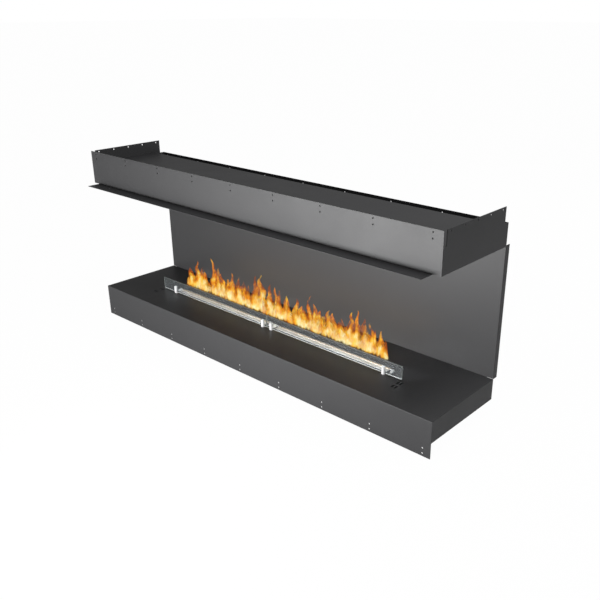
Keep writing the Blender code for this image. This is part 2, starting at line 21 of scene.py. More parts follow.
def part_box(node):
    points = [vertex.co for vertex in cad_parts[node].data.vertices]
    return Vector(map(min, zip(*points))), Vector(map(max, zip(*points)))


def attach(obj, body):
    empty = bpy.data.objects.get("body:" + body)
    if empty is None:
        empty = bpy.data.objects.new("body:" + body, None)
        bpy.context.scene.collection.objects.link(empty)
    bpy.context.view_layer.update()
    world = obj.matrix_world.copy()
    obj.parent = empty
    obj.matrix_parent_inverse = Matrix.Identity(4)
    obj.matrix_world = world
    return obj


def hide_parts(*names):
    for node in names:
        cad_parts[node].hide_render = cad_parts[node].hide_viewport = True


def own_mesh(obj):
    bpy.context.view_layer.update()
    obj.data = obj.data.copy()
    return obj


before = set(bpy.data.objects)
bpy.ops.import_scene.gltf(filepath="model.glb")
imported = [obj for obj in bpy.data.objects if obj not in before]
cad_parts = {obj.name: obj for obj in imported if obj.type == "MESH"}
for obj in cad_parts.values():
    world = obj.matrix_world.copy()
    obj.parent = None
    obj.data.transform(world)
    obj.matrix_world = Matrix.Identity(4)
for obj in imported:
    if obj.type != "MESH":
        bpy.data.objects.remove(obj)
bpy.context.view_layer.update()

MM = 0.001
FIT_GAP = 0.3 * MM
OVERRUN = 10 * MM
SHEET = 2 * MM
FORMED_EDGE = 0.7 * MM
MERGE_DISTANCE = 0.01 * MM
FLAT_ANGLE = math.radians(1)
FOLD_ANGLE = math.radians(30)
SMOOTH_ANGLE = math.radians(50)
NOISE_LOW = 0.3
NOISE_MIDDLE = 0.5
NOISE_HIGH = 0.7
ADD, SUBTRACT, MULTIPLY, MULTIPLY_ADD = (
    {"operation": name} for name in ("ADD", "SUBTRACT", "MULTIPLY", "MULTIPLY_ADD"))

Point = Sequence[float]
Pair = tuple[float, float]
log = logging.getLogger("fireplace")


class Slot(Enum):
    """The record's material slots."""

    POWDER = "powder_coat"
    POWDER_DARK = "powder_coat_dark"
    HEAT_PAINT = "heat_paint"
    SATIN = "satin_stainless"
    MILL = "plain_stainless"
    ZINC = "zinc_steel"
    GLASS = "toughened_glass"
    WOOL = "ceramic_wool"


class Side(Enum):
    """The two ends of the fireplace, with the sign of X there."""

    LEFT = -1
    RIGHT = 1

    @property
    def word(self) -> str:
        """Name of the side as the nodes spell it."""
        return self.name.lower()


def linear(code: str) -> tuple[float, float, float, float]:
    """Turn an sRGB hex colour into linear values.

    Args:
        code: Colour as #rrggbb.

    Returns:
        Linear red, green, blue and an alpha of 1.
    """
    shares = [int(code[i:i + 2], 16) / 255 for i in (1, 3, 5)]
    red, green, blue = (s / 12.92 if s <= 0.04045 else ((s + 0.055) / 1.055) ** 2.4 for s in shares)
    return (red, green, blue, 1.0)


def per(size: float) -> float:
    """Scale value of a texture whose features have a real size in metres."""
    return 1 / size


def around(middle: float, below: float, above: float) -> dict[str, float]:
    """Map Range inputs that turn a noise, which mostly stays near its middle, to values round another."""
    return dict(From_Min=NOISE_LOW, From_Max=NOISE_HIGH, To_Min=middle - below, To_Max=middle + above)


class Graph:
    """A material's or world's node tree, filled one node at a time."""

    def __init__(self, owner: bpy.types.ID) -> None:
        """Start with an empty tree.

        Args:
            owner: Material or world that owns the tree.
        """
        owner.use_nodes = True
        self.tree = owner.node_tree
        self.tree.nodes.clear()

    def add(self, kind: str, settings: Optional[dict] = None, *first: object, out: int | str = 0,
            stops: Iterable[tuple[float, str]] = (), **values: object) -> Optional[bpy.types.NodeSocket]:
        """Add a node with its settings, colours, input values and links.

        Args:
            kind: Node type without the ShaderNode prefix.
            settings: Properties of the node itself.
            *first: Values or sockets for its first inputs, in order.
            out: Name or number of the output that is wanted.
            stops: Position and sRGB colour of each stop of a colour ramp, lowest first.
            **values: Values or sockets for inputs by name, with spaces as underscores.

        Returns:
            The wanted output, or None from a node without outputs.
        """
        node = self.tree.nodes.new(f"ShaderNode{kind}")
        for name, value in (settings or {}).items():
            setattr(node, name, value)
        for number, (position, code) in enumerate(stops):
            elements = node.color_ramp.elements
            element = elements[number] if number < len(elements) else elements.new(1.0)
            element.position, element.color = position, linear(code)
        for key, value in [*enumerate(first), *values.items()]:
            socket = node.inputs[key if isinstance(key, int) else key.replace("_", " ")]
            if isinstance(value, bpy.types.NodeSocket):
                self.tree.links.new(value, socket)
            else:
                socket.default_value = value
        return node.outputs[out] if node.outputs else None


def new_material(name: str) -> tuple[bpy.types.Material, Graph]:
    """Make an empty node material.

    Args:
        name: The material's name.

    Returns:
        The material and its graph.
    """
    material = bpy.data.materials.new(name)
    return material, Graph(material)


@dataclass(frozen=True)
class PowderCoat:
    """Polyester powder sprayed on sheet steel and baked: satin, with faint orange peel."""

    name: str = "satin_black_powder_coat"
    base: str = "#2b2b2c"
    fleck: str = "#333334"
    fleck_shares: Pair = (0.35, 0.75)
    roughness: float = 0.46
    swing: float = 0.03
    specular: float = 0.25
    peel: float = 5 * MM
    grain: float = 1.2 * MM
    grain_share: float = 0.3
    cloud: float = 140 * MM
    relief: float = 0.05 * MM

    def build(self) -> bpy.types.Material:
        """Cloudy gloss over a fine fleck. The peel, really 2 mm, is drawn coarser so that it shows.

        Returns:
            The material.
        """
        material, g = new_material(self.name)
        place = g.add("TexCoord", out="Object")
        cloud = g.add("TexNoise", Vector=place, Scale=per(self.cloud), Detail=3.0)
        grain = g.add("TexNoise", Vector=place, Scale=per(self.grain), Detail=2.0)
        peel = g.add("TexNoise", Vector=place, Scale=per(self.peel), Detail=1.0)
        colour = g.add("ValToRGB", stops=zip(self.fleck_shares, (self.base, self.fleck)), Fac=grain)
        rough = g.add("MapRange", Value=cloud, **around(self.roughness, self.swing, self.swing))
        height = g.add("Math", MULTIPLY_ADD, grain, self.grain_share, peel)
        bump = g.add("Bump", Height=height, Strength=0.5, Distance=self.relief)
        g.add("OutputMaterial", Surface=g.add("BsdfPrincipled", Base_Color=colour, Roughness=rough,
                                              Specular_IOR_Level=self.specular, Normal=bump))
        return material


@dataclass(frozen=True)
class HeatPaint:
    """Matt silicone paint on the burner's deck, blued and browned a little by the fire."""

    name: str = "matt_heat_resistant_paint"
    base: str = "#222428"
    scorched: str = "#37322f"
    scorch_shares: Pair = (0.42, 0.72)
    roughness: float = 0.68
    swing: Pair = (0.08, 0.1)
    specular: float = 0.2
    patch: float = 26 * MM
    grain: float = 0.9 * MM
    relief: float = 0.06 * MM

    def build(self) -> bpy.types.Material:
        """Scorched patches and a dry, sandy grain.

        Returns:
            The material.
        """
        material, g = new_material(self.name)
        place = g.add("TexCoord", out="Object")
        patch = g.add("TexNoise", Vector=place, Scale=per(self.patch), Detail=5.0, Roughness=0.6)
        grain = g.add("TexNoise", Vector=place, Scale=per(self.grain), Detail=3.0)
        colour = g.add("ValToRGB", stops=zip(self.scorch_shares, (self.base, self.scorched)), Fac=patch)
        rough = g.add("MapRange", Value=grain, **around(self.roughness, *self.swing))
        bump = g.add("Bump", Height=grain, Strength=0.6, Distance=self.relief)
        g.add("OutputMaterial", Surface=g.add("BsdfPrincipled", Base_Color=colour, Roughness=rough,
                                              Specular_IOR_Level=self.specular, Normal=bump))
        return material


@dataclass(frozen=True)
class BrushedSteel:
    """Stainless steel brushed along X, or left as rolled: pale, with fine lengthways lines."""

    name: str
    base: str
    stain: str
    metallic: float
    roughness: float
    stain_shares: Pair = (0.4, 0.8)
    swing: Pair = (0.06, 0.08)
    line_width: float = 0.4 * MM
    line_length: float = 40 * MM
    cloud: float = 60 * MM
    relief: float = 0.01 * MM

    def build(self) -> bpy.types.Material:
        """Lines drawn 0.4 mm apart, coarser than the real grit, over a faint heat tint.

        Returns:
            The material.
        """
        material, g = new_material(self.name)
        place = g.add("TexCoord", out="Object")
        drawn = g.add("Mapping", Vector=place, Scale=(self.line_width / self.line_length, 1, 1))
        lines = g.add("TexNoise", Vector=drawn, Scale=per(self.line_width), Detail=3.0)
        cloud = g.add("TexNoise", Vector=place, Scale=per(self.cloud), Detail=4.0)
        colour = g.add("ValToRGB", stops=zip(self.stain_shares, (self.base, self.stain)), Fac=cloud)
        rough = g.add("MapRange", Value=lines, **around(self.roughness, *self.swing))
        bump = g.add("Bump", Height=lines, Strength=0.4, Distance=self.relief)
        g.add("OutputMaterial", Surface=g.add("BsdfPrincipled", Base_Color=colour, Roughness=rough,
                                              Metallic=self.metallic, Normal=bump))
        return material


@dataclass(frozen=True)
class ZincPlate:
    """Bright zinc plating on turned and cold-formed steel: bluish, with a faint spangle."""

    name: str = "bright_zinc_plated_steel"
    base: str = "#b4b8bb"
    spangle: str = "#93989d"
    spangle_shares: Pair = (0.2, 0.8)
    metallic: float = 0.9
    roughness: float = 0.34
    swing: float = 0.05
    cell: float = 3 * MM

    def build(self) -> bpy.types.Material:
        """Crystal cells that differ a little in tint and gloss.

        Returns:
            The material.
        """
        material, g = new_material(self.name)
        place = g.add("TexCoord", out="Object")
        cells = g.add("TexVoronoi", Vector=place, Scale=per(self.cell), out="Color")
        colour = g.add("ValToRGB", stops=zip(self.spangle_shares, (self.spangle, self.base)), Fac=cells)
        rough = g.add("MapRange", Value=cells, **around(self.roughness, self.swing, self.swing))
        g.add("OutputMaterial", Surface=g.add("BsdfPrincipled", Base_Color=colour, Roughness=rough,
                                              Metallic=self.metallic))
        return material


@dataclass(frozen=True)
class ToughenedGlass:
    """Clear toughened glass, 6 mm thick, with a thin film of dust and a faint blue cast."""

    name: str = "clear_toughened_glass"
    tint: str = "#eaf0f2"
    dusty: str = "#dde3e6"
    dust_shares: Pair = (0.4, 0.75)
    roughness: float = 0.02
    swing: float = 0.03
    ior: float = 1.52
    clearness: float = 0.98
    smear: float = 45 * MM
    smear_stretch: Point = (1, 1, 2)

    def build(self) -> bpy.types.Material:
        """Smears change the gloss a little across the pane.

        Returns:
            The material.
        """
        material, g = new_material(self.name)
        place = g.add("Mapping", Vector=g.add("TexCoord", out="Object"), Scale=self.smear_stretch)
        smear = g.add("TexNoise", Vector=place, Scale=per(self.smear), Detail=4.0)
        colour = g.add("ValToRGB", stops=zip(self.dust_shares, (self.tint, self.dusty)), Fac=smear)
        rough = g.add("MapRange", Value=smear, **around(self.roughness, 0, self.swing))
        g.add("OutputMaterial", Surface=g.add("BsdfPrincipled", Base_Color=colour, Roughness=rough,
                                              IOR=self.ior, Transmission_Weight=self.clearness))
        return material


@dataclass(frozen=True)
class GroundEdge:
    """The panes' ground and arrised edges: frosted, grey above and paler below, where they are cleaner."""

    name: str = "ground_glass_edge"
    base: str = "#777d7b"
    dark: str = "#565b59"
    dark_shares: Pair = (0.3, 0.7)
    roughness: float = 0.55
    swing: float = 0.1
    transmission: float = 0.35
    grit: float = 0.5 * MM

    def build(self) -> bpy.types.Material:
        """Grinding marks across a grey-green frosted face.

        Returns:
            The material.
        """
        material, g = new_material(self.name)
        place = g.add("TexCoord", out="Object")
        grit = g.add("TexNoise", Vector=place, Scale=per(self.grit), Detail=2.0)
        colour = g.add("ValToRGB", stops=zip(self.dark_shares, (self.dark, self.base)), Fac=grit)
        rough = g.add("MapRange", Value=grit, **around(self.roughness, self.swing, self.swing))
        g.add("OutputMaterial", Surface=g.add("BsdfPrincipled", Base_Color=colour, Roughness=rough,
                                              Transmission_Weight=self.transmission))
        return material


@dataclass(frozen=True)
class CeramicFibre:
    """Needled ceramic fibre block: off-white, soft and matt, sooty where the fuel burns."""

    name: str = "needled_ceramic_fibre"
    base: str = "#e2ded5"
    soot: str = "#8d877d"
    soot_shares: Pair = (0.45, 0.8)
    roughness: float = 0.95
    fibre: float = 0.8 * MM
    fibre_stretch: Point = (1, 1, 4)
    patch: float = 22 * MM
    relief: float = 0.4 * MM

    def build(self) -> bpy.types.Material:
        """Tangled fibres over cloudy soot.

        Returns:
            The material.
        """
        material, g = new_material(self.name)
        place = g.add("TexCoord", out="Object")
        laid = g.add("Mapping", Vector=place, Scale=self.fibre_stretch)
        patch = g.add("TexNoise", Vector=place, Scale=per(self.patch), Detail=5.0)
        fibre = g.add("TexNoise", Vector=laid, Scale=per(self.fibre), Detail=4.0, Distortion=2.0)
        colour = g.add("ValToRGB", stops=zip(self.soot_shares, (self.base, self.soot)), Fac=patch)
        bump = g.add("Bump", Height=fibre, Strength=0.8, Distance=self.relief)
        g.add("OutputMaterial", Surface=g.add("BsdfPrincipled", Base_Color=colour,
                                              Roughness=self.roughness, Normal=bump))
        return material


@dataclass(frozen=True)
class FlameGas:
    """Burning fuel vapour: clear below, yellow-white in the heart, orange wisps at the tips."""

    name: str = "burning_fuel_vapour"
    layers: tuple[str, str, str] = ("flame_heat", "flame_cover", "flame_rise")
    ember: str = "#a04a18"
    orange: str = "#ec8020"
    amber: str = "#ffb02e"
    yellow: str = "#ffd94c"
    heart: str = "#fff9c4"
    colour_shares: tuple[float, ...] = (0.0, 0.2, 0.42, 0.65, 0.88)
    strength: float = 1.1
    lick: float = 15 * MM
    lick_length: float = 52 * MM
    patch: float = 38 * MM
    wisp_share: float = 0.9
    bloom_share: float = 2.0
    torn_shares: Pair = (1.6, 0.4)
    edge_share: float = 0.2
    most_cover: float = 0.97

    def build(self) -> bpy.types.Material:
        """Colour and cover follow the values that each skin's mesh carries, broken up by upright licks.

        Returns:
            The material.
        """
        material, g = new_material(self.name)
        heat, cover, rise = (g.add("Attribute", {"attribute_name": layer}, out="Fac")
                             for layer in self.layers)
        place = g.add("TexCoord", out="Object")
        rising = g.add("Mapping", Vector=place, Scale=(1, 1, self.lick / self.lick_length))
        licks = g.add("TexNoise", Vector=rising, Scale=per(self.lick), Detail=2.0, Distortion=1.2)
        patches = g.add("TexNoise", Vector=place, Scale=per(self.patch), Detail=2.0)
        wisp, bloom = (g.add("Math", SUBTRACT, value, NOISE_MIDDLE) for value in (licks, patches))
        warmth = g.add("Math", MULTIPLY_ADD, wisp, self.wisp_share, heat)
        warmth = g.add("Math", MULTIPLY_ADD, bloom, self.bloom_share, warmth)
        codes = (self.ember, self.orange, self.amber, self.yellow, self.heart)
        colour = g.add("ValToRGB", stops=zip(self.colour_shares, codes), Fac=warmth)
        torn = g.add("Math", MULTIPLY, wisp, g.add("Math", MULTIPLY_ADD, rise, *self.torn_shares))
        edge = g.add("MapRange", Value=cover, From_Max=self.edge_share)
        shown = g.add("Math", MULTIPLY, g.add("Math", ADD, cover, torn), edge)
        shown = g.add("Clamp", Value=shown, Max=self.most_cover)
        glow = g.add("Emission", Color=colour, Strength=self.strength)
        clear = g.add("BsdfTransparent")
        g.add("OutputMaterial", Surface=g.add("MixShader", None, shown, clear, glow))
        return material


FINISHES = {
    Slot.POWDER: PowderCoat(),
    Slot.POWDER_DARK: PowderCoat("matt_black_powder_coat", "#232324", "#2a2a2b", roughness=0.56),
    Slot.HEAT_PAINT: HeatPaint(),
    # Satin steel of the lids, rail, hinges and posts: metallic only 0.25, so its pale base is partly the
    # steel's own tone and partly a painted highlight for its bright reflection.
    Slot.SATIN: BrushedSteel("satin_brushed_stainless", "#d6d6d7", "#cac8c8", 0.25, 0.38),
    Slot.MILL: BrushedSteel("mill_finish_stainless", "#b5b3ae", "#a0988c", 0.9, 0.38),
    Slot.ZINC: ZincPlate(),
    Slot.GLASS: ToughenedGlass(),
    Slot.WOOL: CeramicFibre(),
}
# Finish of the lids' hinge barrels: its brown is a painted reflection of the flames and painted shade
# between barrel and blade.
FLAME_REFLECTION_FINISH = BrushedSteel("heat_tinted_stainless", "#a08e78", "#86776a", 0.5, 0.45)
CLEAN_EDGE = GroundEdge("clean_ground_glass_edge", "#d4d8d6", "#b4b9b6")


def points_of(grown: dict) -> list[BMVert]:
    """Vertices among the geometry that an operator returned."""
    return [item for item in grown["geom"] if isinstance(item, BMVert)]


class Blank:
    """A piece in the making: one closed mesh that is cut, joined and rounded."""

    def __init__(self, shape: Optional[BMesh] = None) -> None:
        """Start from a bmesh, or from an empty one.

        Args:
            shape: The first shape.
        """
        self.shape = shape or bmesh.new()

    def block(self, low: Point, high: Point) -> "Blank":
        """Add a box between two corners.

        Args:
            low: Lowest corner.
            high: Highest corner.

        Returns:
            The blank itself.
        """
        low, high = Vector(low), Vector(high)
        matrix = Matrix.Translation((low + high) / 2) @ Matrix.Diagonal((*(high - low), 1))
        bmesh.ops.create_cube(self.shape, size=1, matrix=matrix)
        return self

    def rod(self, start: Point, end: Point, radius: float, sides: int = 32) -> "Blank":
        """Add a round bar between two points.

        Args:
            start: Middle of one end.
            end: Middle of the other end.
            radius: The bar's radius.
            sides: Sides of its circle.

        Returns:
            The blank itself.
        """
        start, end = Vector(start), Vector(end)
        turn = (end - start).to_track_quat("Z", "Y").to_matrix().to_4x4()
        matrix = Matrix.Translation((start + end) / 2) @ turn
        bmesh.ops.create_cone(self.shape, cap_ends=True, segments=sides, radius1=radius, radius2=radius,
                              depth=(end - start).length, matrix=matrix)
        return self

    def drills(self, axis: int, faces: Pair, places: Iterable[Pair], radius: float,
               sides: int = 32) -> "Blank":
        """Add the cutters of round holes through a sheet.

        Args:
            axis: Number of the axis that they run along.
            faces: The sheet's two faces on that axis.
            places: The holes' places on the other two axes.
            radius: Their radius.
            sides: Sides of their circles.

        Returns:
            The blank itself.
        """
        for place in places:
            start, end = ((*place[:axis], level, *place[axis:])
                          for level in (faces[0] - OVERRUN, faces[1] + OVERRUN))
            self.rod(start, end, radius, sides)
        return self

    def extruded(self, way: Point, corners: Iterable[Point]) -> "Blank":
        """Add a prism from a flat outline.

        Args:
            way: Direction and length of the extrusion.
            corners: Corners of the outline in order.

        Returns:
            The blank itself.
        """
        face = self.shape.faces.new([self.shape.verts.new(corner) for corner in corners])
        grown = bmesh.ops.extrude_face_region(self.shape, geom=[face])
        bmesh.ops.translate(self.shape, verts=points_of(grown), vec=way)
        bmesh.ops.recalc_face_normals(self.shape, faces=self.shape.faces)
        return self

    def turned(self, profile: Iterable[Pair], centre: Point, sides: int) -> "Blank":
        """Add a shape turned about an upright axis.

        Args:
            profile: Radius and height of each point, from the bottom of the axis to its top.
            centre: Foot of the axis.
            sides: Steps of a full turn.

        Returns:
            The blank itself.
        """
        centre = Vector(centre)
        points = [self.shape.verts.new(centre + Vector((r, 0, z))) for r, z in profile]
        edges = [self.shape.edges.new(pair) for pair in zip(points, points[1:])]
        bmesh.ops.spin(self.shape, geom=points + edges, cent=centre, axis=(0, 0, 1), angle=math.tau,
                       steps=sides, use_merge=True)
        bmesh.ops.remove_doubles(self.shape, verts=self.shape.verts, dist=MERGE_DISTANCE)
        bmesh.ops.recalc_face_normals(self.shape, faces=self.shape.faces)
        return self

    def copied(self, node: str) -> "Blank":
        """Add a CAD node's mesh, merged, with its flat faces made whole.

        Args:
            node: Name of the node.

        Returns:
            The blank itself.
        """
        self.shape.from_mesh(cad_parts[node].data)
        bmesh.ops.remove_doubles(self.shape, verts=self.shape.verts, dist=MERGE_DISTANCE)
        bmesh.ops.dissolve_limit(self.shape, angle_limit=FLAT_ANGLE, verts=self.shape.verts,
                                 edges=self.shape.edges)
        return self

    def _join(self, other: "Blank", operation: str) -> "Blank":
        """Combine with another blank by a Boolean, and use the other up.

        Args:
            other: The other blank.
            operation: DIFFERENCE or UNION.

        Returns:
            The blank itself.
        """
        first, second = self.to_object("blank"), other.to_object("tool")
        modifier = first.modifiers.new(operation, "BOOLEAN")
        modifier.operation = operation
        modifier.solver = "EXACT"
        modifier.object = second
        graph = bpy.context.evaluated_depsgraph_get()
        mesh = bpy.data.meshes.new_from_object(first.evaluated_get(graph))
        self.shape = bmesh.new()
        self.shape.from_mesh(mesh)
        for item in (first, second):
            bpy.data.objects.remove(item, do_unlink=True)
        bpy.data.meshes.remove(mesh)
        bmesh.ops.remove_doubles(self.shape, verts=self.shape.verts, dist=MERGE_DISTANCE)
        bmesh.ops.dissolve_degenerate(self.shape, edges=self.shape.edges, dist=MERGE_DISTANCE)
        return self

    def cut(self, other: "Blank") -> "Blank":
        """Take another blank's shape away."""
        return self._join(other, "DIFFERENCE")

    def joined(self, other: "Blank") -> "Blank":
        """Fuse another blank on."""
        return self._join(other, "UNION")

    def rounded(self, radius: float, segments: int = 2,
                chosen: Optional[Callable[[BMEdge], bool]] = None) -> "Blank":
        """Round the sharp edges, or those of them that a test picks.

        Args:
            radius: Width of the rounding on each face.
            segments: Steps across it.
            chosen: Test that an edge has to pass.

        Returns:
            The blank itself.
        """
        edges = [edge for edge in self.shape.edges if len(edge.link_faces) == 2
                 and edge.calc_face_angle(0) > FOLD_ANGLE and (chosen is None or chosen(edge))]
        bmesh.ops.bevel(self.shape, geom=edges, offset=radius, segments=segments, affect="EDGES",
                        profile=0.5, material=-1, clamp_overlap=True)
        return self

    def to_object(self, name: str) -> bpy.types.Object:
        """Turn the blank into an object at the origin.

        Args:
            name: The object's name.

        Returns:
            The object.
        """
        mesh = bpy.data.meshes.new(name)
        self.shape.to_mesh(mesh)
        self.shape.free()
        made = bpy.data.objects.new(name, mesh)
        bpy.context.scene.collection.objects.link(made)
        return made


def near(value: float, target: float) -> bool:
    """Say whether a coordinate lies on a target within a hundredth of a millimetre."""
    return abs(value - target) < MERGE_DISTANCE


def edge_on(**planes: float) -> Callable[[BMEdge], bool]:
    """Make a test for edges that lie in given planes.

    Args:
        **planes: Coordinate of each plane by its axis, x, y or z.

    Returns:
        The test.
    """
    def test(edge: BMEdge) -> bool:
        """Say whether both ends of an edge lie in every plane."""
        return all(near(getattr(v.co, axis), place) for v in edge.verts for axis, place in planes.items())
    return test


def upright(edge: BMEdge) -> bool:
    """Say whether an edge runs along Z."""
    start, end = (vertex.co for vertex in edge.verts)
    return near(start.x, end.x) and near(start.y, end.y)


def even(low: float, high: float, count: int) -> list[float]:
    """Evenly spaced values between two ends."""
    return [low + (high - low) * i / (count - 1) for i in range(count)]


def quarter(centre: Pair, radius: float, start: float, count: int) -> list[Pair]:
    """Points along a quarter circle of a turned profile.

    Args:
        centre: Radius and height of its centre.
        radius: The circle's own radius.
        start: Angle of the first point in degrees.
        count: Number of points.

    Returns:
        Radius and height of each point.
    """
    turns = [math.radians(angle) for angle in even(start, start + 90, count)]
    return [(centre[0] + radius * math.cos(t), centre[1] + radius * math.sin(t)) for t in turns]


class Bench:
    """Turns blanks into finished pieces of the object and keeps the finishes."""

    def __init__(self) -> None:
        """Build each finish that more than one piece has once."""
        self.finishes = {slot: finish.build() for slot, finish in FINISHES.items()}
        # The lids' barrel finish: brown as a painted reflection of the flames and painted shade.
        self.browned = FLAME_REFLECTION_FINISH.build()
        self.count = 0

    def fit(self, name: str, blank: Blank, slot: Slot, body: str = "root",
            nodes: Sequence[str] = ()) -> bpy.types.Object:
        """Make a blank a piece that rides on a body.

        Args:
            name: The piece's name.
            blank: Its finished shape.
            slot: The record's slot of its finish.
            body: CAD body that it moves with.
            nodes: CAD nodes that it stands for.

        Returns:
            The piece.
        """
        piece = blank.to_object(name)
        piece.data.materials.append(self.finishes[slot])
        piece.data.shade_smooth()
        piece.data.set_sharp_from_angle(angle=SMOOTH_ANGLE)
        piece.modifiers.new("Flat", "WEIGHTED_NORMAL").keep_sharp = True
        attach(piece, body)
        if nodes:
            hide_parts(*nodes)
        self.count += 1
        log.info("%s rides on %s in %s, for %s", name, body, slot.value, ", ".join(nodes) or "no node")
        return piece

    def soften(self, nodes: Iterable[str], slot: Slot, radius: float, body: str = "root",
               segments: int = 2) -> None:
        """Replace each node by its own shape with broken edges.

        Args:
            nodes: The nodes.
            slot: The record's slot of their finish.
            radius: Width of the broken edges.
            body: CAD body that they move with.
            segments: Steps across the edges.
        """
        for node in nodes:
            self.fit(f"{node}_dressed", Blank().copied(node).rounded(radius, segments), slot, body, [node])


@dataclass
class Lamp:
    """An area lamp that faces a point."""

    name: str
    place: Point
    target: Point
    width: float
    height: float
    watts: float
    colour: str = "#ffffff"

    def build(self) -> None:
        """Make the lamp and turn it to its target."""
        data = bpy.data.lights.new(self.name, "AREA")
        data.shape = "RECTANGLE"
        data.size, data.size_y = self.width, self.height
        data.energy = self.watts
        data.color = linear(self.colour)[:3]
        lamp = bpy.data.objects.new(self.name, data)
        lamp.location = self.place
        way = Vector(self.target) - Vector(self.place)
        lamp.rotation_euler = way.to_track_quat("-Z", "Y").to_euler()
        lamp.visible_camera = False
        bpy.context.scene.collection.objects.link(lamp)


@dataclass
class Studio:
    """Camera of the photograph, plain pale floor, soft lamps and an even sky."""

    camera_place: Point = (1.94742, -1.84147, 1.3419)
    camera_azimuth: float = 41.532
    camera_elevation: float = 22.489
    lens: float = 43.427
    sensor: float = 36.0
    shift: Pair = (-0.0477, 0.0072)
    floor_reach: float = 60.0
    floor_colour: str = "#c4c4c4"
    floor_white: float = 0.985
    floor_gloss_share: float = 0.2
    sky_colour: str = "#ffffff"
    sky_level: float = 0.27
    transparent_layers: int = 32
    lamps: list[Lamp] = field(default_factory=lambda: [
        Lamp("low_softbox", (-1.2, -2.6, 0.42), (0.5, -0.1, 0.6), 1.2, 0.3, 98),
        Lamp("near_softbox", (0.1, -1.3, 0.36), (0.8, 0.1, 0.6), 0.6, 0.2, 14),
        Lamp("right_softbox", (0.5, -1.6, 0.42), (0.9, 0.1, 0.6), 0.6, 0.2, 11),
        Lamp("top_softbox", (1.2, 0.0, 3.0), (0.3, 0, 0.4), 1.0, 1.0, 60),
        Lamp("side_softbox", (3.2, -0.6, 1.2), (0.9, 0.1, 0.4), 1.5, 1.5, 19),
        Lamp("rear_softbox", (0.6, 3.5, 1.5), (0, 0.2, 0.4), 1.5, 1.0, 26),
        Lamp("niche_fill", (0.66, 0, 0.6), (0.66, -0.02, 0.13), 0.5, 0.3, 0.5),
        Lamp("fire_glow", (0, 0.07, 0.19), (0, 0.3, 0.24), 1.1, 0.06, 0.16, "#ffe0bc"),
    ])

    def camera(self) -> None:
        """Place the camera that the photograph was fitted to."""
        data = bpy.data.cameras.new("camera")
        data.lens, data.sensor_width = self.lens, self.sensor
        data.shift_x, data.shift_y = self.shift
        camera = bpy.data.objects.new("camera", data)
        camera.location = self.camera_place
        tilt = math.radians(90 - self.camera_elevation)
        camera.rotation_euler = (tilt, 0, math.radians(self.camera_azimuth))
        bpy.context.scene.collection.objects.link(camera)
        bpy.context.scene.camera = camera

    def watched(self, g: Graph) -> bpy.types.NodeSocket:
        """Value that is 1 where the camera looks, straight or through glass."""
        rays = (g.add("LightPath", out=f"Is {kind} Ray") for kind in ("Camera", "Transmission"))
        return g.add("Math", ADD, *rays)

    def floor(self) -> None:
        """Lay the pale floor, white to the eye and in part in gloss, which keeps a soft shadow."""
        shape = bmesh.new()
        bmesh.ops.create_grid(shape, x_segments=1, y_segments=1, size=self.floor_reach)
        floor = Blank(shape).to_object("studio_floor")
        material, g = new_material("pale_studio_floor")
        glossy = g.add("LightPath", out="Is Glossy Ray")
        seen = g.add("Math", MULTIPLY_ADD, glossy, self.floor_gloss_share, self.watched(g))
        white = g.add("Clamp", Value=g.add("Math", MULTIPLY, seen, self.floor_white))
        plain = g.add("BsdfDiffuse", Color=linear(self.floor_colour))
        bright = g.add("Emission", Strength=1.0)
        g.add("OutputMaterial", Surface=g.add("MixShader", None, white, plain, bright))
        floor.data.materials.append(material)

    def sky(self) -> None:
        """Even sky that the camera sees as white, also through glass."""
        world = bpy.data.worlds.new("studio_sky")
        bpy.context.scene.world = world
        g = Graph(world)
        level = g.add("Math", MULTIPLY_ADD, self.watched(g), 1 - self.sky_level, self.sky_level)
        g.add("OutputWorld", Surface=g.add("Background", Color=linear(self.sky_colour), Strength=level))

    def build(self) -> None:
        """Set up the whole studio."""
        scene = bpy.context.scene
        scene.view_settings.view_transform = "Standard"
        scene.cycles.transparent_max_bounces = self.transparent_layers
        self.camera()
        self.floor()
        self.sky()
        for lamp in self.lamps:
            lamp.build()


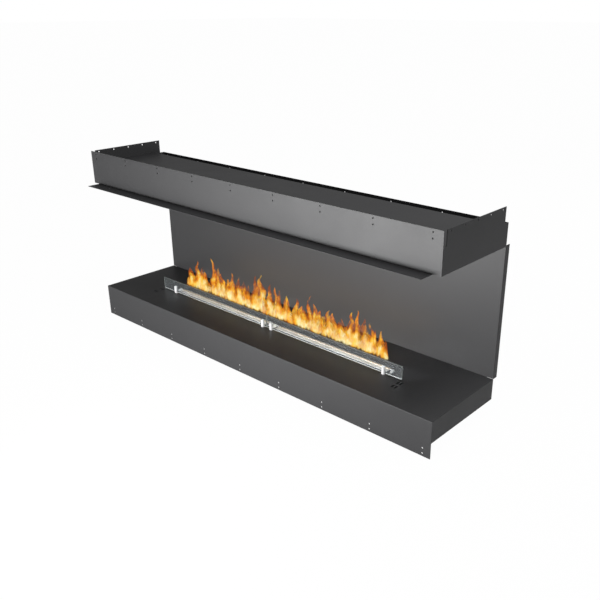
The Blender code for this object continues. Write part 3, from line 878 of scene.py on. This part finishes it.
@dataclass
class LowerCasing:
    """Front, end and rear panels, base plate, bearers, rails and levelling feet."""

    bench: Bench
    edge: float = 0.4 * MM
    fold: float = 1.9 * MM
    fold_steps: int = 4
    hole: float = 3 * MM
    hole_count: int = 9
    hole_end: float = 31 * MM
    hole_edge: float = 10.5 * MM
    hole_pair: float = 19.5 * MM
    foot_hole: float = 5.3 * MM
    foot_count: int = 4
    foot_sides: int = 64
    pad_radius: float = 20 * MM
    pad_height: float = 8 * MM
    pad_edge: float = 1.5 * MM
    pad_steps: int = 6
    collar: float = 10 * MM
    stem: float = 5 * MM
    thread_pitch: float = 1.5 * MM
    thread_depth: float = 0.6 * MM
    nut_edge: float = 0.5 * MM

    def front(self) -> None:
        """Front panel, folded at its top, with nine pairs of holes in its flange."""
        low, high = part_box("lower_front_panel")
        blank = Blank().block(low, high).rounded(self.fold, self.fold_steps, edge_on(y=low.y, z=high.z))
        rows = (low.z + self.hole_edge, low.z + self.hole_edge + self.hole_pair)
        places = product(even(low.x + self.hole_end, high.x - self.hole_end, self.hole_count), rows)
        holes = Blank().drills(1, (low.y, high.y), places, self.hole)
        self.bench.fit("lower_front", blank.cut(holes), Slot.POWDER, nodes=["lower_front_panel"])

    def ends(self) -> None:
        """End panels, folded at their tops, and the rear panel."""
        for side in Side:
            node = f"lower_{side.word}_panel"
            low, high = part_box(node)
            outer = edge_on(x=high.x if side is Side.RIGHT else low.x, z=high.z)
            blank = Blank().block(low, high).rounded(self.fold, self.fold_steps, outer)
            self.bench.fit(f"lower_{side.word}_end", blank, Slot.POWDER, nodes=[node])
        rear = Blank().block(*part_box("lower_rear_panel")).rounded(self.edge)
        self.bench.fit("lower_rear", rear, Slot.POWDER_DARK, nodes=["lower_rear_panel"])

    def floor(self) -> None:
        """Base plate with its foot holes, and the bearers and rails on it."""
        low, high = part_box("base_plate")
        middles = [sum(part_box(f"levelling_foot_{i + 1}"), Vector()) / 2 for i in range(self.foot_count)]
        holes = Blank().drills(2, (low.z, high.z), [middle.xy for middle in middles], self.foot_hole)
        plate = Blank().block(low, high).rounded(self.edge).cut(holes)
        self.bench.fit("casing_floor", plate, Slot.POWDER_DARK, nodes=["base_plate"])
        bearers = [f"tank_bearer_{side.word}_{place}" for side in Side for place in ("outer", "inner")]
        self.bench.soften([*bearers, "hearth_rail_front", "hearth_rail_rear"], Slot.POWDER_DARK, FORMED_EDGE)

    def feet(self) -> None:
        """Four turned feet with rounded pads and threaded stems, and their chamfered nuts."""
        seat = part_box("base_plate")[0].z - FIT_GAP
        shoulder, valley = self.pad_height / 2, self.stem - self.thread_depth
        pad = [(0, 0), *quarter((self.pad_radius - self.pad_edge, self.pad_edge), self.pad_edge, -90,
                                self.pad_steps),
               (self.pad_radius, shoulder), (self.pad_radius - self.edge, shoulder + self.edge),
               (self.collar + self.edge, self.pad_height), (self.collar, self.pad_height + self.edge),
               (self.collar, seat - self.edge), (self.collar - self.edge, seat), (self.stem, seat)]
        for number in range(1, self.foot_count + 1):
            node = f"levelling_foot_{number}"
            low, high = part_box(node)
            profile = list(pad)
            for turn in range(1, int((high.z - seat) / self.thread_pitch)):
                z = seat + turn * self.thread_pitch
                profile += [(self.stem, z), (valley, z + self.thread_pitch / 2)]
            profile += [(self.stem, high.z - self.thread_pitch), (valley, high.z), (0, high.z)]
            centre = ((low.x + high.x) / 2, (low.y + high.y) / 2, 0)
            foot = Blank().turned(profile, centre, self.foot_sides)
            self.bench.fit(f"foot_{number}_turned", foot, Slot.ZINC, f"foot_{number}", [node])
            self.bench.soften([f"foot_nut_{number}"], Slot.ZINC, self.nut_edge)

    def build(self) -> None:
        """Build every piece of the lower casing."""
        self.front()
        self.ends()
        self.floor()
        self.feet()


@dataclass
class Hearth:
    """Lift-out hearth plate with its vent slots, the slotted glass posts and the two panes."""

    bench: Bench
    edge: float = 0.5 * MM
    corner: float = 3 * MM
    corner_steps: int = 6
    cut_half: float = 620 * MM
    cut_front: float = 170.5 * MM
    cut_rear: float = 232 * MM
    slot_width: float = 5.5 * MM
    slot_length: float = 20 * MM
    slot_sides: int = 24
    slot_pitch_x: float = 13 * MM
    slot_pitch_y: float = 31 * MM
    slot_place: float = 673.5 * MM
    slot_depth: float = 122.5 * MM
    stud_hole: float = 3.3 * MM
    stud_radius: float = 3 * MM
    post_count: int = 4
    post_radius: float = 7.5 * MM
    post_floor: float = 5 * MM
    post_edge: float = 0.8 * MM
    post_steps: int = 5
    post_sides: int = 64
    nut_edge: float = 0.3 * MM
    pane_half: float = 3 * MM
    arris: float = 0.7 * MM
    wide_facing: float = 0.99
    low_facing: float = -0.1

    def plate(self) -> None:
        """Plate with the burner cut-out, eight round-ended vent slots and the stud holes."""
        low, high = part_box("hearth_plate")
        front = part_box("lower_front_panel")[0].y
        opening = Blank().block((-self.cut_half, front + self.cut_front, low.z - OVERRUN),
                                (self.cut_half, front + self.cut_rear, high.z + OVERRUN))
        opening.rounded(self.corner, self.corner_steps, upright)
        blank = Blank().block(low, high).rounded(self.edge).cut(opening)
        holes = Blank()
        for side, share_x, share_y in product(Side, (-0.5, 0.5), (-0.5, 0.5)):
            x = side.value * self.slot_place + share_x * self.slot_pitch_x
            y = front + self.slot_depth + share_y * self.slot_pitch_y
            self.round_slot(holes, x, y, (low.z, high.z))
        posts = [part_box(f"glass_holder_{i + 1}") for i in range(self.post_count)]
        studs = [(sum(post, Vector()) / 2).xy for post in posts]
        holes.drills(2, (low.z, high.z), studs, self.stud_hole)
        self.bench.fit("hearth_top", blank.cut(holes), Slot.POWDER, "hearth", ["hearth_plate"])

    def round_slot(self, holes: Blank, x: float, y: float, faces: Pair) -> None:
        """Add a cutter for one slot with round ends.

        Args:
            holes: Blank that gathers the cutters.
            x: Middle of the slot along X.
            y: Middle of the slot along Y.
            faces: The plate's lower and upper face.
        """
        straight = (self.slot_length - self.slot_width) / 2
        start = len(holes.shape.verts)
        holes.drills(2, faces, [(x, y)], self.slot_width / 2, self.slot_sides)
        holes.shape.verts.ensure_lookup_table()
        for vertex in holes.shape.verts[start:]:
            vertex.co.y += math.copysign(straight, vertex.co.y - y)

    def posts(self) -> None:
        """Four slotted posts with broken edges, each on its threaded stud, and their nuts."""
        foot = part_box("hearth_plate")[1].z + FIT_GAP
        half, reach = self.pane_half + FIT_GAP, self.post_radius + OVERRUN
        for number in range(1, self.post_count + 1):
            node = f"glass_holder_{number}"
            low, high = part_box(node)
            x, y = (low.x + high.x) / 2, (low.y + high.y) / 2
            crown = (self.post_radius - self.post_edge, high.z - self.post_edge)
            profile = [(0, low.z), (self.stud_radius - self.edge, low.z),
                       (self.stud_radius, low.z + self.edge), (self.stud_radius, foot),
                       (self.post_radius - self.edge, foot), (self.post_radius, foot + self.edge),
                       *quarter(crown, self.post_edge, 0, self.post_steps), (0, high.z)]
            post = Blank().turned(profile, (x, y, 0), self.post_sides)
            slot = Blank().block((x - reach, y - half, foot + self.post_floor),
                                 (x + reach, y + half, high.z + OVERRUN))
            self.bench.fit(f"glass_post_{number}", post.cut(slot), Slot.SATIN, "hearth", [node])
            self.bench.soften([f"holder_nut_{number}"], Slot.ZINC, self.nut_edge, "hearth")

    def panes(self) -> None:
        """Two panes with arrised edges, whose narrow ground faces have finishes of their own."""
        edges = [GroundEdge().build(), CLEAN_EDGE.build()]
        for side in Side:
            node = f"glass_pane_{side.word}"
            blank = Blank().block(*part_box(node)).rounded(self.arris)
            for face in blank.shape.faces:
                is_wide = abs(face.normal.y) > self.wide_facing
                is_low = face.normal.z < self.low_facing
                face.material_index = 0 if is_wide else 2 if is_low else 1
            pane = self.bench.fit(f"glass_{side.word}", blank, Slot.GLASS, f"pane_{side.word}", [node])
            for edge in edges:
                pane.data.materials.append(edge)
            pane.visible_shadow = False

    def build(self) -> None:
        """Build the plate, the posts and the panes."""
        self.plate()
        self.posts()
        self.panes()


@dataclass
class BackPanel:
    """Back sheet with side returns and tongues, and its two stiffeners."""

    bench: Bench
    fold: float = 2.5 * MM
    fold_steps: int = 5
    hole: float = 4 * MM

    def build(self) -> None:
        """Round the returns' folds, and drill the upper tongue behind the hood's rear holes."""
        low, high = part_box("back_panel")
        blank = Blank().copied("back_panel")
        for outer in (low.x, high.x):
            blank.rounded(self.fold, self.fold_steps, edge_on(x=outer, y=low.y))
        holes = Blank().drills(1, (low.y, low.y), Hood(self.bench).rear_hole_places(), self.hole)
        self.bench.fit("back_sheet", blank.cut(holes), Slot.POWDER, nodes=["back_panel"])
        stiffeners = [f"back_stiffener_{side.word}" for side in Side]
        self.bench.soften(stiffeners, Slot.POWDER_DARK, FORMED_EDGE)


@dataclass
class Hood:
    """Hood box: front, ends, rear wall, ceiling plate with its lip, top plate, angles and ribs."""

    bench: Bench
    edge: float = 0.4 * MM
    fold: float = 1.2 * MM
    fold_steps: int = 4
    hole: float = 3 * MM
    hole_count: int = 9
    hole_end: float = 36.5 * MM
    hole_edge: float = 10.5 * MM
    hole_pair: float = 19.5 * MM
    rear_hole: float = 2.4 * MM
    rear_hole_end: float = 31 * MM
    rear_hole_edge: float = 12 * MM
    side_hole_count: int = 5
    side_hole_end: float = 19 * MM
    side_hole_edge: float = 7.5 * MM
    rivet_count: int = 10
    rivet_sides: int = 20
    rivet_end: float = 54 * MM
    rivet_edge: float = 15.5 * MM
    rivet_radius: float = 1.6 * MM
    rivet_gap: float = 0.1 * MM
    rivet_sink: float = 0.2 * MM
    flange_front: float = 18 * MM
    flange_rear: float = 23 * MM
    ledge: float = 60 * MM
    lip_edge: float = 0.9 * MM
    top_fold: float = 0.8 * MM
    plate_steps: int = 3

    def rivet_places(self) -> list[Pair]:
        """Places along X and Z of the blind rivets.

        Returns:
            The places, from the left.
        """
        low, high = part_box("hood_front_panel")
        along = even(low.x + self.rivet_end, high.x - self.rivet_end, self.rivet_count)
        return [(x, low.z + self.rivet_edge) for x in along]

    def rear_hole_places(self) -> list[Pair]:
        """Places along X and Z of the holes in the rear wall.

        Returns:
            The places, from the left.
        """
        low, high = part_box("hood_front_panel")
        along = even(low.x + self.rear_hole_end, high.x - self.rear_hole_end, self.hole_count)
        return [(x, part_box("hood_rear_panel")[1].z - self.rear_hole_edge) for x in along]

    def front(self) -> None:
        """Front sheet with nine pairs of fixing holes and the holes of its blind rivets."""
        low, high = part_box("hood_front_panel")
        blank = Blank().block(low, high).rounded(self.fold, self.fold_steps, edge_on(y=low.y, z=high.z))
        rows = (high.z - self.hole_edge, high.z - self.hole_edge - self.hole_pair)
        places = product(even(low.x + self.hole_end, high.x - self.hole_end, self.hole_count), rows)
        holes = Blank().drills(1, (low.y, high.y), places, self.hole)
        holes.drills(1, (low.y, high.y), self.rivet_places(), self.rivet_radius)
        self.bench.fit("hood_front", blank.cut(holes), Slot.POWDER, nodes=["hood_front_panel"])

    def rivets(self) -> None:
        """Ten painted blind rivets, set back in their holes so that their heads lie almost flush."""
        low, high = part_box("hood_front_panel")
        heads = Blank()
        for x, z in self.rivet_places():
            heads.rod((x, low.y + self.rivet_sink, z), (x, high.y, z), self.rivet_radius - self.rivet_gap,
                      self.rivet_sides)
        self.bench.fit("hood_rivets", heads.rounded(self.edge), Slot.POWDER_DARK)

    def ends(self) -> None:
        """End sheets with their upstanding flange, inward ledge and five round holes."""
        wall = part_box("hood_rear_panel")[1].z
        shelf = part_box("hood_top_plate")[1].z
        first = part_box("hood_front_panel")[0].y + self.flange_front
        for side in Side:
            node = f"hood_{side.word}_panel"
            low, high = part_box(node)
            outer = high.x if side is Side.RIGHT else low.x
            start = min(outer, outer - side.value * SHEET)
            last = high.y - self.flange_rear
            outline = [(low.y, low.z), (high.y, low.z), (high.y, wall), (last, wall), (last, high.z),
                       (first, high.z), (first, shelf), (low.y, shelf)]
            blank = Blank().extruded(Vector((1, 0, 0)) * SHEET, [(start, y, z) for y, z in outline])
            tip = outer - side.value * self.ledge
            blank.joined(Blank().block((min(outer, tip), low.y, low.z),
                                       (max(outer, tip), high.y - SHEET - FIT_GAP, low.z + SHEET)))
            along = even(first + self.side_hole_end, last - self.side_hole_end, self.side_hole_count)
            places = [(y, high.z - self.side_hole_edge) for y in along]
            holes = Blank().drills(0, (start, start + SHEET), places, self.hole)
            blank.rounded(self.fold, self.fold_steps, edge_on(x=outer, z=low.z))
            self.bench.fit(f"hood_{side.word}_end", blank.cut(holes), Slot.POWDER, nodes=[node])

    def rear(self) -> None:
        """Rear wall with one row of fixing holes."""
        low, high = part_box("hood_rear_panel")
        holes = Blank().drills(1, (low.y, high.y), self.rear_hole_places(), self.rear_hole)
        blank = Blank().block(low, high).rounded(self.edge).cut(holes)
        self.bench.fit("hood_rear", blank, Slot.POWDER_DARK, nodes=["hood_rear_panel"])

    def plates(self) -> None:
        """Ceiling plate with its lip, the recessed top plate, the angles and the ribs."""
        low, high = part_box("hood_ceiling_plate")
        ceiling = Blank().block(low, high).rounded(self.lip_edge, self.plate_steps, edge_on(y=low.y))
        ceiling.rounded(self.edge)
        self.bench.fit("hood_ceiling", ceiling, Slot.POWDER, nodes=["hood_ceiling_plate"])
        self.bench.soften(["hood_top_plate"], Slot.POWDER, self.top_fold, segments=self.plate_steps)
        inner = [f"hood_{piece}" for piece in ("angle_front", "angle_rear", "rib_left", "rib_right")]
        self.bench.soften(inner, Slot.POWDER_DARK, FORMED_EDGE)

    def build(self) -> None:
        """Build every piece of the hood."""
        self.front()
        self.rivets()
        self.ends()
        self.rear()
        self.plates()


@dataclass
class Burner:
    """One burner module: tank, fibre block, deck, slot rail, hinge and snuffer lid."""

    bench: Bench
    side: Side
    lid_sheet: float = 1.2 * MM
    barrel_radius: float = 3.5 * MM
    barrel_gap: float = 1.2 * MM
    barrel_steps: int = 48
    blade_edge: float = 0.25 * MM
    blade_steps: int = 2
    plate_edge: float = 0.5 * MM
    wool_edge: float = 1.5 * MM
    wool_steps: int = 3
    rail_edge: float = 0.4 * MM
    hinge_edge: float = 0.3 * MM
    rod_sides: int = 40

    def lid(self) -> None:
        """Flat blade whose rear edge is rolled into the hinge barrel; the barrel's brown is a painted
        reflection of the flames and painted shade.
        """
        name = f"lid_{self.side.word}"
        low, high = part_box(f"snuffer_{name}")
        axis_y = high.y - self.barrel_radius
        axis_z = high.z - self.barrel_radius
        middle = self.barrel_radius - self.lid_sheet / 2
        shape = bmesh.new()
        tip = shape.verts.new((low.x, low.y, axis_z))
        start = shape.verts.new((low.x, axis_y - middle, axis_z))
        shape.edges.new((tip, start))
        sweep = math.tau - self.barrel_gap / middle
        bmesh.ops.spin(shape, geom=[start], cent=(low.x, axis_y, axis_z), axis=(-1, 0, 0), angle=sweep,
                       steps=self.barrel_steps)
        bmesh.ops.remove_doubles(shape, verts=shape.verts, dist=MERGE_DISTANCE)
        grown = bmesh.ops.extrude_edge_only(shape, edges=shape.edges[:])
        bmesh.ops.translate(shape, verts=points_of(grown), vec=(high.x - low.x, 0, 0))
        # The barrel's faces take the brown finish, a painted reflection of the flames and painted shade.
        for face in shape.faces:
            face.material_index = 1 if face.calc_center_median().y > axis_y - middle else 0
        piece = self.bench.fit(name, Blank(shape), Slot.SATIN, name, [f"snuffer_{name}"])
        piece.data.materials.append(self.bench.browned)
        piece.modifiers.clear()
        wall = piece.modifiers.new("Sheet", "SOLIDIFY")
        wall.thickness, wall.offset, wall.use_even_offset = self.lid_sheet, 0, True
        rounding = piece.modifiers.new("Edges", "BEVEL")
        rounding.width, rounding.segments = self.blade_edge, self.blade_steps
        rounding.limit_method = "ANGLE"
        piece.modifiers.new("Flat", "WEIGHTED_NORMAL").keep_sharp = True

    def hinge(self) -> None:
        """Rod with broken ends, and the two blocks that carry it."""
        word = self.side.word
        low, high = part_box(f"hinge_rod_{word}")
        middle = (low + high) / 2
        rod = Blank().rod((low.x, middle.y, middle.z), (high.x, middle.y, middle.z), (high.z - low.z) / 2,
                          self.rod_sides).rounded(self.hinge_edge)
        self.bench.fit(f"lid_rod_{word}", rod, Slot.SATIN, nodes=[f"hinge_rod_{word}"])
        blocks = [f"hinge_block_{word}_{place}" for place in ("outer", "inner")]
        self.bench.soften(blocks, Slot.SATIN, self.hinge_edge)

    def build(self) -> None:
        """Build every piece of the module."""
        word = self.side.word
        self.lid()
        self.bench.soften([f"burner_tank_{word}"], Slot.MILL, self.plate_edge)
        self.bench.soften([f"ceramic_wool_{word}"], Slot.WOOL, self.wool_edge, segments=self.wool_steps)
        self.bench.soften([f"burner_deck_{word}"], Slot.HEAT_PAINT, self.plate_edge)
        self.bench.soften([f"slot_rail_{word}"], Slot.SATIN, self.rail_edge)
        self.hinge()


@dataclass(frozen=True)
class Skin:
    """One closed skin of the flame curtain: its shares of height and depth, lift, heat and cover."""

    reach: float
    depth: float
    lift: float
    heat: float
    low_cover: float
    high_cover: float


@dataclass
class Flames:
    """A ragged curtain of flame over each slot, as closed skins from orange wisps to a white heart."""

    bench: Bench
    gas: FlameGas = FlameGas()
    seed: int = 7
    foot: float = 153 * MM
    tallest: float = 182 * MM
    body: float = 58 * MM
    body_swing: float = 44 * MM
    body_wave: float = 34 * MM
    base_swing: float = 30 * MM
    base_wave: float = 18 * MM
    half_depth: float = 19 * MM
    sway: float = 17 * MM
    sway_rise: float = 100 * MM
    sway_wave: float = 42 * MM
    sway_depth_share: float = 0.6
    slot_half: float = 274.5 * MM
    slot_middle: float = 6 * MM
    end_taper: float = 14 * MM
    end_power: float = 0.5
    belly_share: float = 0.15
    belly_power: float = 0.6
    crest_power: float = 0.75
    fade_in: float = 10 * MM
    fade_out_share: float = 0.4
    fade_out_power: float = 4
    columns: int = 320
    rows: int = 22
    tongue_half: Pair = (20 * MM, 36 * MM)
    tongue_power: float = 1.35
    lick_count: int = 10
    lick_shift: float = 6 * MM
    lick_shares: Pair = (0.42, 0.62)
    lick_half: Pair = (9 * MM, 16 * MM)
    snuffed_share: float = 0.01
    skins: tuple[Skin, ...] = (
        Skin(1.0, 1.0, 0.0, 0.12, 0.05, 0.4), Skin(0.84, 0.78, 3 * MM, 0.36, 0.12, 0.4),
        Skin(0.64, 0.54, 6 * MM, 0.6, 0.5, 0.45), Skin(0.45, 0.3, 9 * MM, 0.92, 0.85, 0.5))
    span_shares: dict[Side, Pair] = field(default_factory=lambda: {
        Side.LEFT: (-0.99, 1.16), Side.RIGHT: (-1.16, 0.93)})
    tongue_shares: dict[Side, tuple[Pair, ...]] = field(default_factory=lambda: {
        Side.LEFT: ((-0.88, 0.55), (-0.66, 0.8), (-0.54, 0.66), (-0.29, 1.0), (-0.18, 0.8), (-0.08, 0.7),
                    (0.05, 0.6), (0.16, 0.77), (0.29, 0.75), (0.4, 0.66), (0.5, 0.62), (0.68, 0.9),
                    (0.8, 1.0), (0.97, 0.82), (1.1, 0.78)),
        Side.RIGHT: ((-1.1, 0.74), (-0.92, 0.68), (-0.73, 0.72), (-0.64, 0.6), (-0.46, 0.87), (-0.38, 0.72),
                     (-0.3, 0.62), (-0.18, 0.52), (-0.1, 0.68), (0.0, 0.68), (0.1, 0.58), (0.3, 0.83),
                     (0.39, 0.92), (0.52, 0.76), (0.65, 0.72), (0.8, 0.62), (0.9, 0.5)),
    })

    def crest(self, x: float, tongues: Iterable[Point]) -> float:
        """Height of the curtain over a place along X.

        Args:
            x: The place.
            tongues: Place, height and half width of each tongue.

        Returns:
            The body's uneven height, or that of the tongue that rises above it there.
        """
        body = self.body + self.body_swing * noise.noise(Vector((x / self.body_wave, self.seed, 0)))
        shares = ((tall, max(0.0, 1 - abs(x - place) / half)) for place, tall, half in tongues)
        return body + max(max(0.0, tall - body) * share ** self.tongue_power for tall, share in shares)

    def skin(self, shape: BMesh, skin: Skin, y: float, span: Pair, tongues: Iterable[Point]) -> None:
        """Add one skin: a grid wrapped from the foot of its front over the crest to the foot of its back.

        Args:
            shape: Bmesh that gathers the skins.
            skin: The skin's shares.
            y: Middle plane of the curtain.
            span: Its two ends along X.
            tongues: Place, height and half width of each tongue.
        """
        heat, cover, rise = (shape.verts.layers.float[name] for name in self.gas.layers)
        grid = bmesh.ops.create_grid(shape, x_segments=self.columns, y_segments=2 * self.rows, size=1)
        for vertex in grid["verts"]:
            x = span[0] + (span[1] - span[0]) * (vertex.co.x + 1) / 2
            face, share = math.copysign(1, vertex.co.y), max(0.0, 1 - abs(vertex.co.y))
            inset = min(1, (x - span[0]) / self.end_taper, (span[1] - x) / self.end_taper)
            end = max(0.0, inset) ** self.end_power
            base = skin.lift + self.base_swing * abs(noise.noise(Vector((x / self.base_wave, 0, self.seed))))
            up = end * (base + (skin.reach * self.crest(x, tongues) - base) * share)
            belly = min(1, share / self.belly_share) ** self.belly_power
            depth = end * skin.depth * self.half_depth * belly * (1 - share) ** self.crest_power
            swing = self.sway * up / self.sway_rise
            wave = Vector((x, 0, up)) / self.sway_wave
            back = self.sway_depth_share * swing * noise.noise(wave + Vector((0, self.seed, 0)))
            vertex.co = (x + swing * noise.noise(wave), y + face * depth + back, self.foot + up)
            vertex[heat] = skin.heat
            vertex[rise] = share
            full = skin.low_cover + (skin.high_cover - skin.low_cover) * share
            left = 1 - self.fade_out_share * share ** self.fade_out_power
            vertex[cover] = full * min(1, (up - base) / self.fade_in) * left

    def build(self) -> None:
        """Make the curtain over each slot, with small licks between its measured tongues."""
        gas = self.gas.build()
        for side, shares in self.tongue_shares.items():
            draw = random.Random(self.seed + side.value)
            rail_low, rail_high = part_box(f"slot_rail_{side.word}")
            x, y = (rail_low.x + rail_high.x) / 2, rail_high.y + FIT_GAP + self.slot_middle
            span = tuple(x + share * self.slot_half for share in self.span_shares[side])
            tongues = [(x + share * self.slot_half, tall * self.tallest, draw.uniform(*self.tongue_half))
                       for share, tall in shares]
            tongues += [(place + draw.uniform(-self.lick_shift, self.lick_shift),
                         draw.uniform(*self.lick_shares) * self.tallest, draw.uniform(*self.lick_half))
                        for place in even(*span, self.lick_count)]
            shape = bmesh.new()
            for layer in self.gas.layers:
                shape.verts.layers.float.new(layer)
            for skin in self.skins:
                self.skin(shape, skin, y, span, tongues)
            bmesh.ops.remove_doubles(shape, verts=shape.verts, dist=MERGE_DISTANCE)
            bmesh.ops.dissolve_degenerate(shape, edges=shape.edges, dist=MERGE_DISTANCE)
            bmesh.ops.recalc_face_normals(shape, faces=shape.faces)
            piece = Blank(shape).to_object(f"flames_{side.word}")
            piece.data.materials.append(gas)
            piece.data.shade_smooth()
            piece.visible_shadow = False
            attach(piece, "root")
            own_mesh(piece)
            log.info("flames_%s rides on root and dies down as its lid closes", side.word)


def main() -> None:
    """Build the studio and every sub-assembly in order."""
    logging.basicConfig(level=logging.INFO, format="%(message)s")
    Studio().build()
    bench = Bench()
    LowerCasing(bench).build()
    Hearth(bench).build()
    BackPanel(bench).build()
    Hood(bench).build()
    for side in Side:
        Burner(bench, side).build()
    Flames(bench).build()
    log.info("%d pieces dressed", bench.count)


if __name__ == "__main__":
    main()
